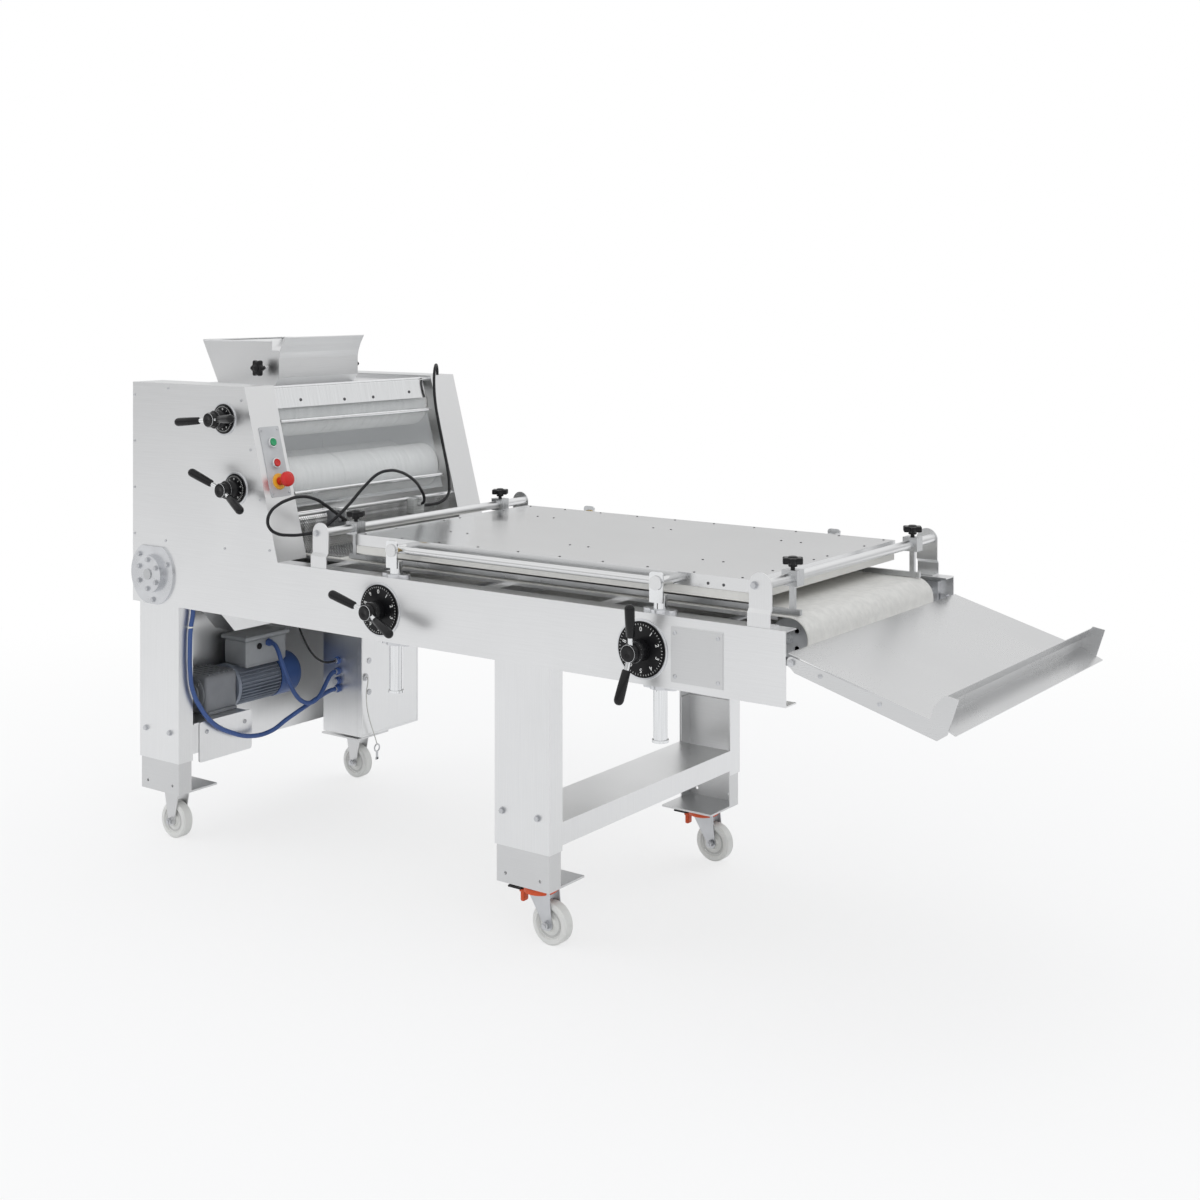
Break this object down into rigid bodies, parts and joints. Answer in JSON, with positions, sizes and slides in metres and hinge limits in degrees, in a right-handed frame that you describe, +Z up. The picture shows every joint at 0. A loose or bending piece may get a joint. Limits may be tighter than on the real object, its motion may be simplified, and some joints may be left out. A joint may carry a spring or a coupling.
{
  "type": "baguette moulder",
  "caption": "Dough moulder on castors: hopper, sheeting rollers and chain mat feed a felt belt under a pressure board that is set by rack and pinion.",
  "frame": {"origin": "floor under the middle of the whole machine, levers, bearing shafts and tray included", "axes": "+X from the infeed end to the discharge tray, +Y from the operator's side to the far side, +Z up"},
  "size_m": [2.496, 0.9535, 1.4],
  "materials": {
    "stainless": "brushed stainless sheet",
    "clear_sheet": "clear polycarbonate sheet",
    "bright_rod": "bright turned rods",
    "felt": "white woven felt belt",
    "drum_steel": "turned steel",
    "cast": "machined cast bearings",
    "roller_white": "white food plastic",
    "mat_links": "dark steel links",
    "black_plastic": "black moulded plastic",
    "lever_steel": "steel shaft with black hub and grips",
    "panel_gray": "light grey plate",
    "green_button": "green push button",
    "red_button": "red push button",
    "core_white": "white plastic board",
    "sleeve_brass": "brass sleeves",
    "zinc": "zinc plated steel",
    "pedal_black": "black brake pedal",
    "nylon": "white nylon wheels",
    "guide_dark": "side guides on clamps",
    "motor_paint": "painted gearbox and motor castings",
    "cable_jacket": "black cables and blue conduits",
    "string": "white string with a key"
  },
  "bodies": {
    "frame": {"side_beams": "stainless", "belt_bed": "stainless", "belt": "felt", "bearings": "cast", "head_frame": "stainless", "head_covers": "stainless", "curling_mat": "mat_links", "dial_plates": "black_plastic", "control_panel": "panel_gray", "hopper": "stainless", "guide_stands": "stainless", "legs": "stainless", "leg_extensions": "zinc", "fasteners": "zinc", "gearmotor": "motor_paint", "drive_chain": "drum_steel", "motor_shelf": "stainless", "cabinet": "stainless", "cables": "cable_jacket"},
    "drive_drum": {"drive_drum": "drum_steel"},
    "idler_drum": {"idler_drum": "drum_steel"},
    "motor_sprocket": {"motor_sprocket": "drum_steel"},
    "upper_feed_roller": {"upper_feed_roller": "roller_white"},
    "lower_feed_roller": {"lower_feed_roller": "roller_white"},
    "upper_gap_roller": {"upper_gap_roller": "roller_white"},
    "lower_gap_roller": {"lower_gap_roller": "roller_white"},
    "upper_gap_lever": {"upper_gap_lever": "lever_steel"},
    "lower_gap_lever": {"lower_gap_lever": "lever_steel"},
    "guard": {"guard": "clear_sheet", "guard_frame": "bright_rod"},
    "start_button": {"start_button": "green_button"},
    "stop_button": {"stop_button": "red_button"},
    "emergency_button": {"emergency_button": "red_button"},
    "hopper_flap": {"hopper_flap": "stainless"},
    "flap_knob_near": {"flap_knob_near": "black_plastic"},
    "flap_knob_far": {"flap_knob_far": "black_plastic"},
    "near_guide": {"near_guide": "guide_dark"},
    "far_guide": {"far_guide": "guide_dark"},
    "near_infeed_knob": {"near_infeed_knob": "black_plastic"},
    "near_discharge_knob": {"near_discharge_knob": "black_plastic"},
    "far_infeed_knob": {"far_infeed_knob": "black_plastic"},
    "far_discharge_knob": {"far_discharge_knob": "black_plastic"},
    "board_pivots": {"pivot_sleeves": "sleeve_brass"},
    "pressure_board": {"pressure_board": "stainless", "board_core": "core_white"},
    "infeed_posts": {"infeed_posts": "bright_rod"},
    "discharge_posts": {"discharge_posts": "bright_rod"},
    "infeed_board_lever": {"infeed_board_lever": "lever_steel"},
    "discharge_board_lever": {"discharge_board_lever": "lever_steel"},
    "near_swivel_fork": {"near_swivel_fork": "zinc"},
    "far_swivel_fork": {"far_swivel_fork": "zinc"},
    "near_brake_pedal": {"near_brake_pedal": "pedal_black"},
    "far_brake_pedal": {"far_brake_pedal": "pedal_black"},
    "near_infeed_wheel": {"near_infeed_wheel": "nylon"},
    "far_infeed_wheel": {"far_infeed_wheel": "nylon"},
    "near_discharge_wheel": {"near_discharge_wheel": "nylon"},
    "far_discharge_wheel": {"far_discharge_wheel": "nylon"},
    "cabinet_door": {"cabinet_door": "stainless", "key_cord": "string"},
    "tray": {"tray": "stainless"}
  },
  "joints": [
    {"name": "drive_spin", "type": "hinge", "parent": "frame", "child": "drive_drum", "pos_m": [-1.14801, -0.394, 0.745], "axis": [0, 1, 0], "continuous": true},
    {"name": "idler_spin", "type": "hinge", "parent": "frame", "child": "idler_drum", "pos_m": [0.81099, -0.394, 0.781], "axis": [0, 1, 0], "continuous": true},
    {"name": "sprocket_spin", "type": "hinge", "parent": "frame", "child": "motor_sprocket", "pos_m": [-1.13601, -0.394, 0.386], "axis": [0, 1, 0], "continuous": true},
    {"name": "upper_feed_spin", "type": "hinge", "parent": "frame", "child": "upper_feed_roller", "pos_m": [-0.99301, -0.394, 1.191], "axis": [0, 1, 0], "continuous": true},
    {"name": "lower_feed_spin", "type": "hinge", "parent": "frame", "child": "lower_feed_roller", "pos_m": [-0.94801, -0.394, 1.0065], "axis": [0, 1, 0], "continuous": true},
    {"name": "upper_gap_turn", "type": "hinge", "parent": "frame", "child": "upper_gap_lever", "pos_m": [-0.85701, -0.394, 1.188], "axis": [0, 1, 0], "range_deg": [-45, 45]},
    {"name": "lower_gap_turn", "type": "hinge", "parent": "frame", "child": "lower_gap_lever", "pos_m": [-0.81201, -0.394, 1.0035], "axis": [0, 1, 0], "range_deg": [-45, 45]},
    {"name": "upper_gap_spin", "type": "hinge", "parent": "upper_gap_lever", "child": "upper_gap_roller", "pos_m": [-0.85701, -0.394, 1.191], "axis": [0, 1, 0], "continuous": true},
    {"name": "lower_gap_spin", "type": "hinge", "parent": "lower_gap_lever", "child": "lower_gap_roller", "pos_m": [-0.81201, -0.394, 1.0065], "axis": [0, 1, 0], "continuous": true},
    {"name": "guard_turn", "type": "hinge", "parent": "frame", "child": "guard", "pos_m": [-0.79001, -0.394, 1.267], "axis": [0, -1, 0], "range_deg": [0, 85]},
    {"name": "start_press", "type": "slide", "parent": "frame", "child": "start_button", "axis": [-0.9632, 0, -0.2688], "range_m": [0, 0.003], "stiffness_N_per_m": 400},
    {"name": "stop_press", "type": "slide", "parent": "frame", "child": "stop_button", "axis": [-0.9632, 0, -0.2688], "range_m": [0, 0.003], "stiffness_N_per_m": 400},
    {"name": "emergency_press", "type": "slide", "parent": "frame", "child": "emergency_button", "axis": [-0.9632, 0, -0.2688], "range_m": [0, 0.005], "stiffness_N_per_m": 800},
    {"name": "flap_turn", "type": "hinge", "parent": "frame", "child": "hopper_flap", "pos_m": [-0.98101, -0.394, 1.312], "axis": [0, 1, 0], "range_deg": [-25, 25]},
    {"name": "flap_knob_near_turn", "type": "hinge", "parent": "hopper_flap", "child": "flap_knob_near", "pos_m": [-0.98101, -0.394, 1.312], "axis": [0, 1, 0], "range_deg": [-180, 180]},
    {"name": "flap_knob_far_turn", "type": "hinge", "parent": "hopper_flap", "child": "flap_knob_far", "pos_m": [-0.98101, -0.394, 1.312], "axis": [0, 1, 0], "range_deg": [-180, 180]},
    {"name": "near_guide_shift", "type": "slide", "parent": "frame", "child": "near_guide", "axis": [0, 1, 0], "range_m": [0, 0.2]},
    {"name": "far_guide_shift", "type": "slide", "parent": "frame", "child": "far_guide", "axis": [0, -1, 0], "range_m": [0, 0.2]},
    {"name": "near_infeed_knob_turn", "type": "hinge", "parent": "near_guide", "child": "near_infeed_knob", "pos_m": [-0.49201, -0.269, 0.95], "axis": [0, 0, 1], "range_deg": [-180, 180]},
    {"name": "near_discharge_knob_turn", "type": "hinge", "parent": "near_guide", "child": "near_discharge_knob", "pos_m": [0.81099, -0.269, 0.95], "axis": [0, 0, 1], "range_deg": [-180, 180]},
    {"name": "far_infeed_knob_turn", "type": "hinge", "parent": "far_guide", "child": "far_infeed_knob", "pos_m": [-0.49201, 0.327, 0.95], "axis": [0, 0, 1], "range_deg": [-180, 180]},
    {"name": "far_discharge_knob_turn", "type": "hinge", "parent": "far_guide", "child": "far_discharge_knob", "pos_m": [0.81099, 0.327, 0.95], "axis": [0, 0, 1], "range_deg": [-180, 180]},
    {"name": "board_infeed_lift", "type": "hinge", "parent": "frame", "child": "board_pivots", "pos_m": [0.53399, -0.394, 0.888], "axis": [0, 1, 0], "range_deg": [-0.58, 0.87]},
    {"name": "board_discharge_lift", "type": "hinge", "parent": "board_pivots", "child": "pressure_board", "pos_m": [-0.25601, -0.394, 0.888], "axis": [0, -1, 0], "range_deg": [-0.58, 0.87]},
    {"name": "infeed_posts_lift", "type": "slide", "parent": "frame", "child": "infeed_posts", "axis": [0, 0, 1], "range_m": [-0.0085, 0.0125]},
    {"name": "discharge_posts_lift", "type": "slide", "parent": "frame", "child": "discharge_posts", "axis": [0, 0, 1], "range_m": [-0.0085, 0.0125]},
    {"name": "infeed_board_lever_turn", "type": "hinge", "parent": "frame", "child": "infeed_board_lever", "pos_m": [-0.28762, -0.394, 0.739], "axis": [0, -1, 0], "range_deg": [-36, 54]},
    {"name": "discharge_board_lever_turn", "type": "hinge", "parent": "frame", "child": "discharge_board_lever", "pos_m": [0.50238, -0.394, 0.739], "axis": [0, -1, 0], "range_deg": [-36, 54]},
    {"name": "near_swivel", "type": "hinge", "parent": "frame", "child": "near_swivel_fork", "pos_m": [0.16749, -0.33, 0.128], "axis": [0, 0, 1], "continuous": true},
    {"name": "near_brake", "type": "hinge", "parent": "near_swivel_fork", "child": "near_brake_pedal", "pos_m": [0.13249, -0.33, 0.121], "axis": [0, -1, 0], "range_deg": [0, 12]},
    {"name": "near_discharge_roll", "type": "hinge", "parent": "near_swivel_fork", "child": "near_discharge_wheel", "pos_m": [0.20349, -0.33, 0.05], "axis": [0, 1, 0], "continuous": true},
    {"name": "far_swivel", "type": "hinge", "parent": "frame", "child": "far_swivel_fork", "pos_m": [0.16749, 0.388, 0.128], "axis": [0, 0, 1], "continuous": true},
    {"name": "far_brake", "type": "hinge", "parent": "far_swivel_fork", "child": "far_brake_pedal", "pos_m": [0.13249, 0.388, 0.121], "axis": [0, -1, 0], "range_deg": [0, 12]},
    {"name": "far_discharge_roll", "type": "hinge", "parent": "far_swivel_fork", "child": "far_discharge_wheel", "pos_m": [0.20349, 0.388, 0.05], "axis": [0, 1, 0], "continuous": true},
    {"name": "near_infeed_roll", "type": "hinge", "parent": "frame", "child": "near_infeed_wheel", "pos_m": [-1.12201, -0.332, 0.05], "axis": [0, 1, 0], "continuous": true},
    {"name": "far_infeed_roll", "type": "hinge", "parent": "frame", "child": "far_infeed_wheel", "pos_m": [-1.12201, 0.39, 0.05], "axis": [0, 1, 0], "continuous": true},
    {"name": "door_turn", "type": "hinge", "parent": "frame", "child": "cabinet_door", "pos_m": [-0.89801, 0.411, 0], "axis": [0, 0, 1], "range_deg": [0, 110]},
    {"name": "tray_turn", "type": "hinge", "parent": "frame", "child": "tray", "pos_m": [0.87599, -0.394, 0.757], "axis": [0, 1, 0], "range_deg": [-20, 66]}
  ],
  "couplings": [
    {"joint": "idler_spin", "follows": "drive_spin", "ratio": 1.7742},
    {"joint": "sprocket_spin", "follows": "drive_spin", "ratio": 1.375},
    {"joint": "upper_feed_spin", "follows": "drive_spin", "ratio": 1.2692},
    {"joint": "lower_feed_spin", "follows": "drive_spin", "ratio": 1.2692},
    {"joint": "upper_gap_spin", "follows": "drive_spin", "ratio": -1.2692},
    {"joint": "lower_gap_spin", "follows": "drive_spin", "ratio": -1.2692},
    {"joint": "infeed_posts_lift", "follows": "board_infeed_lift", "m_per_rad": 0.79},
    {"joint": "discharge_posts_lift", "follows": "board_discharge_lift", "m_per_rad": 0.79},
    {"joint": "infeed_board_lever_turn", "follows": "board_infeed_lift", "ratio": 60.19},
    {"joint": "discharge_board_lever_turn", "follows": "board_discharge_lift", "ratio": 60.19}
  ]
}
